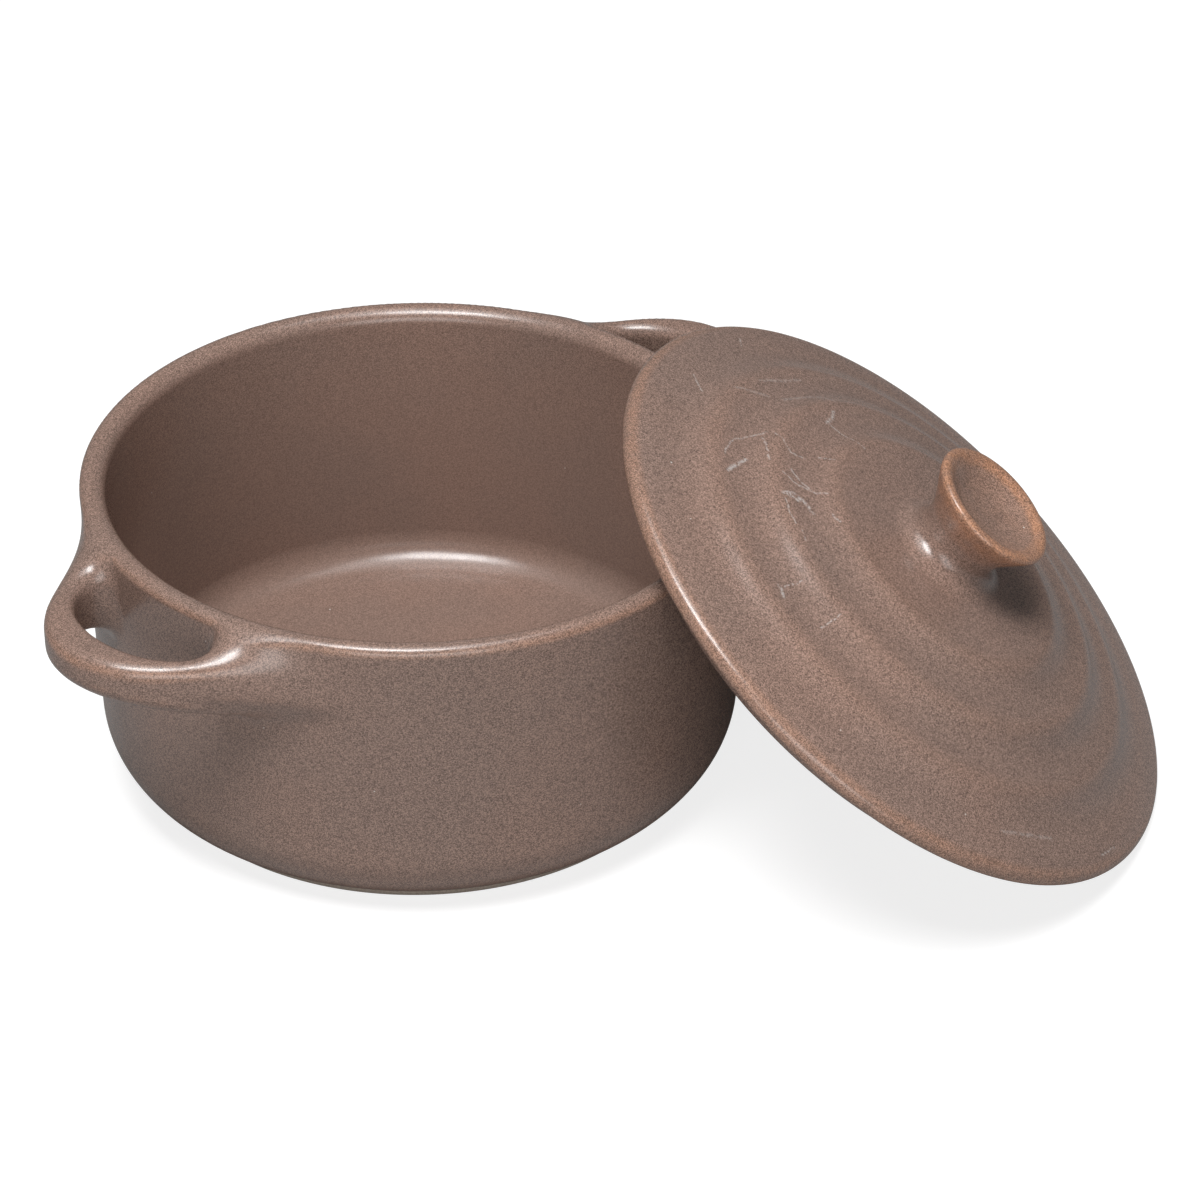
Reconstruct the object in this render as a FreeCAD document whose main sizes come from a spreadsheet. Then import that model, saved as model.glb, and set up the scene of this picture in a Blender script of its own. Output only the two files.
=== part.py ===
import FreeCAD, Part
import Sketcher
import math
import os

# Mini casserole dish in fired stoneware: a round dish with two loop handles, and its loose lid,
# which leans with its lower edge on the table and its locating ring on the dish's rim.
# Frame: millimetres, +Z up, origin at the centre of the foot, on the table. X runs through both
# handles, and handle_left is on -X.

os.makedirs("parts", exist_ok=True)
doc = FreeCAD.newDocument("mini_casserole")

# Driving dimensions, in millimetres and degrees
DIMENSIONS = {
    # dish
    "rim_radius": 52.5,             # outside of the rim
    "rim_height": 51.4,             # table to the top of the rim
    "lip_thickness": 3.6,           # the rim is a full round of this width
    "wall_low_radius": 51.0,        # outside of the wall where the lower corner starts
    "wall_thickness": 3.9,          # at that same place
    "corner_radius": 10.5,          # outer lower corner
    "inner_corner_radius": 7.0,     # between inner wall and floor
    "floor_top": 5.2,               # table to the inside floor
    "base_height": 1.2,             # table to the underside inside the foot ring
    "foot_radius": 44.1,            # outside of the foot ring
    "foot_width": 4.0,
    "foot_height": 1.4,
    # handles
    "handle_reach": 68.4,           # dish axis to the outermost point
    "handle_end_radius": 19.8,      # round end of the loop, in plan
    "handle_flank_angle": 53.6,     # direction that each straight side faces, from the handle's axis
    "handle_drop": 3.4,             # top of the rim to the top of the loop
    "handle_depth": 7.0,            # top to bottom of the loop
    "handle_edge_radius": 1.9,
    "root_top_rise": 1.2,           # how far the top climbs where it meets the wall
    "root_bottom_drop": 2.4,        # how far the underside falls there
    "root_flare": 5.5,              # how far out from the rim's radius the rise and the drop reach
    "finger_bar": 4.7,              # thickness of the loop at its outermost point
    "finger_hole_depth": 18.4,      # length of the oval hole along the handle's axis
    "finger_hole_width": 26.4,
    # lid
    "lid_radius": 53.9,
    "lid_edge_radius": 1.1,         # lower corner of the lid's edge
    "lid_shoulder_radius": 2.4,     # upper corner of the lid's edge
    "ring_depth": 4.05,             # how far the locating ring reaches below the seat
    "ring_width": 2.6,
    "ring_edge_radius": 0.8,
    "ring_clearance": 1.0,          # locating ring to the inside of the dish's mouth
    "outer_step_radius": 41.2,
    "outer_step_height": 7.0,       # heights of the lid are above its seat
    "middle_step_radius": 31.3,
    "middle_step_height": 9.9,
    "inner_step_radius": 21.0,
    "inner_step_height": 12.0,
    "crown_height": 13.4,           # at the foot of the knob
    "step_hollow_radius": 24.0,     # each stretch between two steps is this hollow
    "step_round_radius": 4.0,       # the steps' crests are rounded
    "underside_rise": 1.6,          # underside above the seat, beside the locating ring
    "crown_thickness": 4.4,         # under the knob
    # knob
    "knob_radius": 10.9,
    "knob_height": 25.2,            # above the lid's seat
    "knob_rim_radius": 1.15,
    "knob_hollow": 2.3,             # depth of the hollow top
    "waist_radius": 5.9,
    "knob_foot_fillet": 2.3,
    "stem_hollow_radius": 4.0,      # the stem's curve above the waist
    "knob_seat_depth": 0.5,         # the knob is let into the crown by this much
    # how the lid leans
    "lean_angle": 38.0,             # between the lid's axis and the vertical
    "lean_bearing": -54.8,          # direction that the lid's top faces, counted from +X
    "lean_offset": 3.25,            # sideways, from the dish's axis to the lid's
    "lean_gap": 0.25,               # locating ring to rim
}

sizes = doc.addObject("Spreadsheet::Sheet", "Sizes")
for row, (alias, value) in enumerate(DIMENSIONS.items(), start=1):
    sizes.set("A%d" % row, alias.replace("_", " "))
    sizes.set("B%d" % row, str(value))
    sizes.setAlias("B%d" % row, alias)
doc.recompute()


def size(alias):
    """A driving dimension, read back from the sheet."""
    return float(sizes.get(alias))


def handle_levels():
    """Heights of the loop's top and underside, away from its roots."""
    top = size("rim_height") - size("handle_drop")
    return top, top - size("handle_depth")


def vector(x, y, z=0.0):
    return FreeCAD.Vector(x, y, z)


def new_body(label):
    body = doc.addObject("PartDesign::Body", label)
    body.Label = label
    return body


def sketch_on(body, name, role):
    """A sketch on one of the body's own origin planes."""
    sketch = body.newObject("Sketcher::SketchObject", name)
    plane = [f for f in body.Origin.OriginFeatures if f.Role == role][0]
    sketch.AttachmentSupport = [(plane, "")]
    sketch.MapMode = "FlatFace"
    return sketch


# Sketch helpers. Point numbers: 1 is a start, 2 an end, 3 a centre. Geometry -1 is the sketch's
# horizontal axis, whose point 1 is the origin, and -2 is its vertical axis.
START, END, CENTRE = range(1, 4)
H_AXIS, V_AXIS = range(-1, -3, -1)
CLOSE = 0.01                        # sizes nearer than this are the same


def line(sketch, a, b):
    return sketch.addGeometry(Part.LineSegment(vector(*a), vector(*b)), False)


def arc(sketch, centre, a, b):
    """Arc about centre, counterclockwise from a to b."""
    radius = math.dist(centre, a)
    first = math.atan2(a[1] - centre[1], a[0] - centre[0])
    last = math.atan2(b[1] - centre[1], b[0] - centre[0])
    if last <= first:
        last += 2 * math.pi
    circle = Part.Circle(vector(*centre), vector(0, 0, 1), radius)
    return sketch.addGeometry(Part.ArcOfCircle(circle, first, last), False)


def join(sketch, *ends):
    """Makes pairs of (geometry, point) coincide."""
    for (geo_a, point_a), (geo_b, point_b) in ends:
        sketch.addConstraint(Sketcher.Constraint("Coincident", geo_a, point_a, geo_b, point_b))


def smooth(sketch, *ends):
    """Makes pairs of (geometry, point) coincide and run on without a kink."""
    for (geo_a, point_a), (geo_b, point_b) in ends:
        sketch.addConstraint(Sketcher.Constraint("Tangent", geo_a, point_a, geo_b, point_b))


def bound(sketch, name, constraint, expression):
    index = sketch.addConstraint(constraint)
    sketch.renameConstraint(index, name)
    sketch.setExpression("Constraints." + name, expression)


def set_x(sketch, name, geo, point, value, expression):
    constraint = Sketcher.Constraint("DistanceX", H_AXIS, 1, geo, point, value)
    bound(sketch, name, constraint, expression)


def set_y(sketch, name, geo, point, value, expression):
    constraint = Sketcher.Constraint("DistanceY", H_AXIS, 1, geo, point, value)
    bound(sketch, name, constraint, expression)


def set_radius(sketch, name, geo, value, expression):
    bound(sketch, name, Sketcher.Constraint("Radius", geo, value), expression)


def on_axis(sketch, geo, point, axis):
    sketch.addConstraint(Sketcher.Constraint("PointOnObject", geo, point, axis))


def flat(sketch, *geos):
    for geo in geos:
        sketch.addConstraint(Sketcher.Constraint("Horizontal", geo))


def upright(sketch, *geos):
    for geo in geos:
        sketch.addConstraint(Sketcher.Constraint("Vertical", geo))


def turned(body, name, sketch, kind="PartDesign::Revolution"):
    """The sketch turned a full circle about the body's Z axis, added or cut away."""
    feature = body.newObject(kind, name)
    feature.Profile = sketch
    feature.ReferenceAxis = (sketch, ["V_Axis"])
    feature.Angle = 360.0
    sketch.Visibility = False
    body.Tip = feature
    doc.recompute()
    return feature


def ring_edges(shape, radius, height):
    """Names of the full circular edges of this radius at this height about the Z axis."""
    names = []
    for number, edge in enumerate(shape.Edges, start=1):
        if edge.Degenerated or not isinstance(edge.Curve, Part.Circle):
            continue
        centre = edge.Curve.Center
        if math.hypot(centre.x, centre.y) > CLOSE:
            continue
        if abs(edge.Curve.Radius - radius) < CLOSE and abs(centre.z - height) < CLOSE:
            names.append("Edge%d" % number)
    return names


# Dish body

def wall_line():
    """Lower and upper end of the straight outside of the wall, as radius and height."""
    low_radius = size("wall_low_radius")
    corner = size("corner_radius")
    inset = size("foot_radius") - (low_radius - corner)
    low_height = size("foot_height") + math.sqrt(corner ** 2 - inset ** 2)
    return (low_radius, low_height), (size("rim_radius"), size("rim_height") - size("lip_thickness") / 2)


def make_dish_body():
    body = new_body("dish_body")
    profile = sketch_on(body, "dish_profile", "XZ_Plane")
    (low_radius, low_height), (rim_radius, lip_height) = wall_line()
    lip = size("lip_thickness") / 2
    corner = size("corner_radius")
    foot_in = size("foot_radius") - size("foot_width")
    foot_out = size("foot_radius")
    foot_height = size("foot_height")
    base = size("base_height")
    floor = size("floor_top")
    inner_low = low_radius - size("wall_thickness")
    inner_corner = size("inner_corner_radius")
    inner_rim = rim_radius - 2 * lip

    underside = line(profile, (0, base), (foot_in, base))
    foot_inside = line(profile, (foot_in, base), (foot_in, 0))
    foot_sole = line(profile, (foot_in, 0), (foot_out, 0))
    foot_outside = line(profile, (foot_out, 0), (foot_out, foot_height))
    corner_arc = arc(profile, (low_radius - corner, low_height), (foot_out, foot_height),
                     (low_radius, low_height))
    outer_wall = line(profile, (low_radius, low_height), (rim_radius, lip_height))
    lip_arc = arc(profile, (rim_radius - lip, lip_height), (rim_radius, lip_height),
                  (inner_rim, lip_height))
    inner_wall = line(profile, (inner_rim, lip_height), (inner_low, floor + inner_corner))
    inner_arc = arc(profile, (inner_low - inner_corner, floor + inner_corner),
                    (inner_low - inner_corner, floor), (inner_low, floor + inner_corner))
    floor_line = line(profile, (inner_low - inner_corner, floor), (0, floor))
    axis_line = line(profile, (0, floor), (0, base))

    join(profile,
         ((underside, END), (foot_inside, START)), ((foot_inside, END), (foot_sole, START)),
         ((foot_sole, END), (foot_outside, START)), ((foot_outside, END), (corner_arc, START)),
         ((outer_wall, END), (lip_arc, START)), ((lip_arc, END), (inner_wall, START)),
         ((floor_line, END), (axis_line, START)), ((axis_line, END), (underside, START)))
    smooth(profile,
           ((corner_arc, END), (outer_wall, START)), ((inner_wall, END), (inner_arc, END)),
           ((inner_arc, START), (floor_line, START)))
    flat(profile, underside, foot_sole, floor_line)
    upright(profile, foot_inside, foot_outside, axis_line)
    on_axis(profile, axis_line, START, V_AXIS)
    on_axis(profile, foot_sole, START, H_AXIS)
    profile.addConstraint(Sketcher.Constraint("Horizontal", lip_arc, START, lip_arc, CENTRE))
    profile.addConstraint(Sketcher.Constraint("Horizontal", lip_arc, END, lip_arc, CENTRE))
    set_y(profile, "base", underside, START, base, "Sizes.base_height")
    set_x(profile, "foot_in", foot_sole, START, foot_in, "Sizes.foot_radius - Sizes.foot_width")
    set_x(profile, "foot_out", foot_sole, END, foot_out, "Sizes.foot_radius")
    set_y(profile, "foot_height", foot_outside, END, foot_height, "Sizes.foot_height")
    set_radius(profile, "corner", corner_arc, corner, "Sizes.corner_radius")
    set_x(profile, "wall_low", outer_wall, START, low_radius, "Sizes.wall_low_radius")
    set_x(profile, "lip_x", lip_arc, CENTRE, rim_radius - lip, "Sizes.rim_radius - Sizes.lip_thickness / 2")
    set_y(profile, "lip_y", lip_arc, CENTRE, lip_height, "Sizes.rim_height - Sizes.lip_thickness / 2")
    set_radius(profile, "lip", lip_arc, lip, "Sizes.lip_thickness / 2")
    set_x(profile, "inner_low", inner_wall, END, inner_low, "Sizes.wall_low_radius - Sizes.wall_thickness")
    set_radius(profile, "inner_corner", inner_arc, inner_corner, "Sizes.inner_corner_radius")
    set_y(profile, "floor", floor_line, END, floor, "Sizes.floor_top")
    turned(body, "dish_turned", profile)
    return body


# Handles

def plan_outline(body):
    """Loop seen from above: round end, two straight sides, closed inside the wall."""
    plan = sketch_on(body, body.Label + "_plan", "XY_Plane")
    reach = size("handle_reach")
    end_radius = size("handle_end_radius")
    angle = math.radians(size("handle_flank_angle"))
    centre = reach - end_radius
    back = size("wall_low_radius") - size("wall_thickness") - size("corner_radius")
    touch = (centre + end_radius * math.cos(angle), end_radius * math.sin(angle))
    spread = touch[1] + (touch[0] - back) * math.cos(angle) / math.sin(angle)

    end_arc = arc(plan, (centre, 0), (touch[0], -touch[1]), touch)
    upper_side = line(plan, touch, (back, spread))
    back_line = line(plan, (back, spread), (back, -spread))
    lower_side = line(plan, (back, -spread), (touch[0], -touch[1]))
    smooth(plan, ((end_arc, END), (upper_side, START)), ((lower_side, END), (end_arc, START)))
    join(plan, ((upper_side, END), (back_line, START)), ((back_line, END), (lower_side, START)))
    on_axis(plan, end_arc, CENTRE, H_AXIS)
    plan.addConstraint(Sketcher.Constraint("Symmetric", back_line, START, back_line, END, H_AXIS))
    set_radius(plan, "end_radius", end_arc, end_radius, "Sizes.handle_end_radius")
    set_x(plan, "end_centre", end_arc, CENTRE, centre, "Sizes.handle_reach - Sizes.handle_end_radius")
    set_x(plan, "back", back_line, START, back,
          "Sizes.wall_low_radius - Sizes.wall_thickness - Sizes.corner_radius")
    bound(plan, "flank", Sketcher.Constraint("Angle", upper_side, math.radians(90 + size("handle_flank_angle"))),
          "90 + Sizes.handle_flank_angle")
    return plan


def finger_hole(body):
    """The oval hole, seen from above."""
    hole = sketch_on(body, body.Label + "_hole", "XY_Plane")
    half_depth = size("finger_hole_depth") / 2
    half_width = size("finger_hole_width") / 2
    centre = size("handle_reach") - size("finger_bar") - half_depth
    oval = hole.addGeometry(Part.Ellipse(vector(centre, half_width), vector(centre + half_depth, 0),
                                         vector(centre, 0)), False)
    hole.exposeInternalGeometry(oval)
    long_axis, short_axis = oval + 1, oval + 2
    on_axis(hole, oval, CENTRE, H_AXIS)
    upright(hole, long_axis)
    set_x(hole, "centre", oval, CENTRE, centre,
          "Sizes.handle_reach - Sizes.finger_bar - Sizes.finger_hole_depth / 2")
    bound(hole, "width", Sketcher.Constraint("Distance", long_axis, 2 * half_width), "Sizes.finger_hole_width")
    bound(hole, "depth", Sketcher.Constraint("Distance", short_axis, 2 * half_depth), "Sizes.finger_hole_depth")
    return hole


def root_profile(body, name, above):
    """Section that cuts the loop to its height, with a hollow curve up or down to its root."""
    section = sketch_on(body, body.Label + name, "XZ_Plane")
    rim = size("rim_radius")
    flare = size("root_flare")
    level = handle_levels()[0 if above else 1]
    step = size("root_top_rise") if above else -size("root_bottom_drop")
    far = 2 * size("handle_reach")
    away = size("rim_height") + size("handle_depth") if above else 0
    radius = (flare ** 2 + step ** 2) / (2 * abs(step))
    centre = (rim + flare, level + math.copysign(radius, step))
    root = (rim, level + step)
    bend = (rim + flare, level)

    if above:
        curve = arc(section, centre, root, bend)
        root_end, bend_end = START, END
    else:
        curve = arc(section, centre, bend, root)
        root_end, bend_end = END, START
    level_line = line(section, bend, (far, level))
    far_line = line(section, (far, level), (far, away))
    away_line = line(section, (far, away), (0, away))
    axis_line = line(section, (0, away), (0, level + step))
    root_line = line(section, (0, level + step), root)
    join(section,
         ((level_line, END), (far_line, START)), ((far_line, END), (away_line, START)),
         ((away_line, END), (axis_line, START)), ((axis_line, END), (root_line, START)),
         ((root_line, END), (curve, root_end)))
    smooth(section, ((curve, bend_end), (level_line, START)))
    flat(section, level_line, away_line, root_line)
    upright(section, far_line, axis_line)
    on_axis(section, axis_line, START, V_AXIS)
    level_text = "Sizes.rim_height - Sizes.handle_drop" + ("" if above else " - Sizes.handle_depth")
    step_text = " + Sizes.root_top_rise" if above else " - Sizes.root_bottom_drop"
    set_x(section, "root", root_line, END, rim, "Sizes.rim_radius")
    set_x(section, "bend", level_line, START, rim + flare, "Sizes.rim_radius + Sizes.root_flare")
    set_y(section, "level", level_line, START, level, level_text)
    set_y(section, "root_level", root_line, END, level + step, level_text + step_text)
    set_x(section, "far", far_line, START, far, "2 * Sizes.handle_reach")
    if above:
        set_y(section, "away", away_line, START, away, "Sizes.rim_height + Sizes.handle_depth")
    else:
        on_axis(section, away_line, START, H_AXIS)
    return section


def wall_profile(body):
    """Everything inside the outside of the dish's wall, as the dish itself has it."""
    section = sketch_on(body, body.Label + "_wall", "XZ_Plane")
    (low_radius, low_height), (rim_radius, lip_height) = wall_line()
    lip = size("lip_thickness") / 2
    top = size("rim_height")
    wall = line(section, (low_radius, low_height), (rim_radius, lip_height))
    lip_arc = arc(section, (rim_radius - lip, lip_height), (rim_radius, lip_height),
                  (rim_radius - lip, top))
    top_line = line(section, (rim_radius - lip, top), (0, top))
    axis_line = line(section, (0, top), (0, low_height))
    low_line = line(section, (0, low_height), (low_radius, low_height))
    corner = size("corner_radius")
    foot_out = size("foot_radius")
    guide = arc(section, (low_radius - corner, low_height), (foot_out, size("foot_height")),
                (low_radius, low_height))
    section.setConstruction(guide, True)
    join(section,
         ((wall, END), (lip_arc, START)), ((lip_arc, END), (top_line, START)),
         ((top_line, END), (axis_line, START)), ((axis_line, END), (low_line, START)),
         ((low_line, END), (wall, START)))
    smooth(section, ((guide, END), (wall, START)))
    flat(section, top_line, low_line)
    upright(section, axis_line)
    on_axis(section, axis_line, START, V_AXIS)
    section.addConstraint(Sketcher.Constraint("Horizontal", lip_arc, START, lip_arc, CENTRE))
    section.addConstraint(Sketcher.Constraint("Vertical", lip_arc, END, lip_arc, CENTRE))
    set_x(section, "guide_x", guide, START, foot_out, "Sizes.foot_radius")
    set_y(section, "guide_y", guide, START, size("foot_height"), "Sizes.foot_height")
    set_radius(section, "corner", guide, corner, "Sizes.corner_radius")
    set_x(section, "wall_low", wall, START, low_radius, "Sizes.wall_low_radius")
    set_x(section, "lip_x", lip_arc, CENTRE, rim_radius - lip, "Sizes.rim_radius - Sizes.lip_thickness / 2")
    set_y(section, "lip_y", lip_arc, CENTRE, lip_height, "Sizes.rim_height - Sizes.lip_thickness / 2")
    set_radius(section, "lip", lip_arc, lip, "Sizes.lip_thickness / 2")
    return section


def loop_edges(shape):
    """The long edges round the loop and round its hole, above and below, outside the wall."""
    level_top, level_low = handle_levels()
    low_limit = level_low - size("root_bottom_drop")
    high_limit = level_top + size("root_top_rise")
    names = []
    for number, edge in enumerate(shape.Edges, start=1):
        box = edge.BoundBox
        if box.ZLength > size("handle_depth") / 2:
            continue
        if box.XMax < size("rim_radius") * 0.8:
            continue
        on_top = abs(box.ZMin - level_top) < CLOSE and box.ZMax < high_limit + CLOSE
        on_low = abs(box.ZMax - level_low) < CLOSE and box.ZMin > low_limit - CLOSE
        straight_across = box.ZLength < CLOSE and box.YLength < CLOSE
        if (on_top or on_low) and not straight_across:
            names.append("Edge%d" % number)
    return names


def make_handle(label, turn):
    body = new_body(label)
    plan = plan_outline(body)
    loop = body.newObject("PartDesign::Pad", label + "_loop")
    loop.Profile = plan
    loop.setExpression("Length", "Sizes.rim_height")
    plan.Visibility = False
    doc.recompute()
    hole = finger_hole(body)
    opening = body.newObject("PartDesign::Pocket", label + "_opening")
    opening.Profile = hole
    opening.Type = "ThroughAll"
    opening.Reversed = True
    hole.Visibility = False
    doc.recompute()
    turned(body, label + "_top", root_profile(body, "_above", True), "PartDesign::Groove")
    low = turned(body, label + "_bottom", root_profile(body, "_below", False), "PartDesign::Groove")
    rounded = body.newObject("PartDesign::Fillet", label + "_rounded")
    rounded.Base = (low, loop_edges(low.Shape))
    rounded.setExpression("Radius", "Sizes.handle_edge_radius")
    doc.recompute()
    turned(body, label + "_fitted", wall_profile(body), "PartDesign::Groove")
    body.Placement = FreeCAD.Placement(vector(0, 0, 0), FreeCAD.Rotation(vector(0, 0, 1), turn))
    return body


# Lid. Its own frame has the lower end of the locating ring at height 0 and its axis along Z.

SEAT = "Sizes.ring_depth"


def make_lid_shell():
    body = new_body("lid_shell")
    profile = sketch_on(body, "lid_profile", "XZ_Plane")
    seat = size("ring_depth")
    ring_out = size("rim_radius") - size("lip_thickness") - size("ring_clearance")
    ring_in = ring_out - size("ring_width")
    radius = size("lid_radius")
    edge = size("lid_edge_radius")
    shoulder = size("lid_shoulder_radius")
    crown = seat + size("crown_height")
    crown_under = crown - size("crown_thickness")
    knob_foot = size("waist_radius") + size("knob_foot_fillet")
    seat_low = crown - size("knob_seat_depth")
    beside = seat + size("underside_rise")
    hollow = size("step_hollow_radius")
    steps = [(size(name + "_step_radius"), seat + size(name + "_step_height"))
             for name in ("outer", "middle", "inner")]
    edge_top = (radius - shoulder, seat + edge + shoulder)
    crown_edge = (knob_foot, crown)

    dome_rise = crown_under - beside
    dome_radius = (ring_in ** 2 + dome_rise ** 2) / (2 * dome_rise)
    underside = arc(profile, (0, crown_under - dome_radius), (ring_in, beside), (0, crown_under))
    ring_inside = line(profile, (ring_in, beside), (ring_in, 0))
    ring_end = line(profile, (ring_in, 0), (ring_out, 0))
    ring_outside = line(profile, (ring_out, 0), (ring_out, seat))
    seat_line = line(profile, (ring_out, seat), (radius - edge, seat))
    edge_arc = arc(profile, (radius - edge, seat + edge), (radius - edge, seat), (radius, seat + edge))
    shoulder_arc = arc(profile, (radius - shoulder, seat + edge), (radius, seat + edge), edge_top)

    # hollow stretches from the shoulder to the crown, one per pair of neighbouring points
    points = [edge_top] + steps + [crown_edge]
    stretches = []
    for (outer_x, outer_y), (inner_x, inner_y) in zip(points, points[1:]):
        chord = math.dist((outer_x, outer_y), (inner_x, inner_y))
        reach = math.sqrt(hollow ** 2 - (chord / 2) ** 2)
        middle_x, middle_y = (outer_x + inner_x) / 2, (outer_y + inner_y) / 2
        across_x, across_y = (inner_y - outer_y) / chord, (outer_x - inner_x) / chord
        centre = (middle_x + across_x * reach, middle_y + across_y * reach)
        stretches.append(arc(profile, centre, (inner_x, inner_y), (outer_x, outer_y)))
    knob_seat_wall = line(profile, crown_edge, (knob_foot, seat_low))
    knob_seat = line(profile, (knob_foot, seat_low), (0, seat_low))
    axis_line = line(profile, (0, seat_low), (0, crown_under))

    join(profile,
         ((underside, START), (ring_inside, START)), ((ring_inside, END), (ring_end, START)),
         ((ring_end, END), (ring_outside, START)), ((ring_outside, END), (seat_line, START)),
         ((shoulder_arc, END), (stretches[0], END)),
         ((stretches[-1], START), (knob_seat_wall, START)),
         ((knob_seat_wall, END), (knob_seat, START)), ((knob_seat, END), (axis_line, START)),
         ((axis_line, END), (underside, END)))
    for outer, inner in zip(stretches, stretches[1:]):
        join(profile, ((outer, START), (inner, END)))
    smooth(profile, ((seat_line, END), (edge_arc, START)), ((edge_arc, END), (shoulder_arc, START)))
    flat(profile, ring_end, seat_line, knob_seat)
    upright(profile, ring_inside, ring_outside, knob_seat_wall, axis_line)
    on_axis(profile, axis_line, START, V_AXIS)
    on_axis(profile, underside, CENTRE, V_AXIS)
    on_axis(profile, ring_end, START, H_AXIS)
    profile.addConstraint(Sketcher.Constraint("Vertical", shoulder_arc, END, shoulder_arc, CENTRE))
    profile.addConstraint(Sketcher.Constraint("Horizontal", shoulder_arc, START, shoulder_arc, CENTRE))
    ring_text = "Sizes.rim_radius - Sizes.lip_thickness - Sizes.ring_clearance"
    knob_text = "Sizes.waist_radius + Sizes.knob_foot_fillet"
    set_x(profile, "ring_in", ring_end, START, ring_in, ring_text + " - Sizes.ring_width")
    set_x(profile, "ring_out", ring_end, END, ring_out, ring_text)
    set_y(profile, "beside", ring_inside, START, beside, SEAT + " + Sizes.underside_rise")
    set_y(profile, "seat", seat_line, START, seat, SEAT)
    set_radius(profile, "edge", edge_arc, edge, "Sizes.lid_edge_radius")
    set_radius(profile, "shoulder", shoulder_arc, shoulder, "Sizes.lid_shoulder_radius")
    set_x(profile, "lid_radius", edge_arc, END, radius, "Sizes.lid_radius")
    for name, geo, (x, y) in zip(("outer", "middle", "inner"), stretches, steps):
        set_x(profile, name + "_x", geo, START, x, "Sizes." + name + "_step_radius")
        set_y(profile, name + "_y", geo, START, y, SEAT + " + Sizes." + name + "_step_height")
    for number, geo in enumerate(stretches, start=1):
        set_radius(profile, "hollow_%d" % number, geo, hollow, "Sizes.step_hollow_radius")
    set_x(profile, "crown_x", knob_seat_wall, START, knob_foot, knob_text)
    set_y(profile, "crown_y", knob_seat_wall, START, crown, SEAT + " + Sizes.crown_height")
    set_y(profile, "knob_seat", knob_seat, END, seat_low,
          SEAT + " + Sizes.crown_height - Sizes.knob_seat_depth")
    set_y(profile, "crown_under", underside, END, crown_under,
          SEAT + " + Sizes.crown_height - Sizes.crown_thickness")
    shell = turned(body, "lid_turned", profile)

    crests = body.newObject("PartDesign::Fillet", "lid_crests")
    edges = []
    for x, y in steps:
        edges += ring_edges(shell.Shape, x, y)
    crests.Base = (shell, edges)
    crests.setExpression("Radius", "Sizes.step_round_radius")
    body.Tip = crests
    doc.recompute()

    ring_round = body.newObject("PartDesign::Fillet", "lid_ring_rounded")
    ring_round.Base = (crests, ring_edges(crests.Shape, ring_in, 0) + ring_edges(crests.Shape, ring_out, 0))
    ring_round.setExpression("Radius", "Sizes.ring_edge_radius")
    body.Tip = ring_round
    doc.recompute()
    return body


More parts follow.
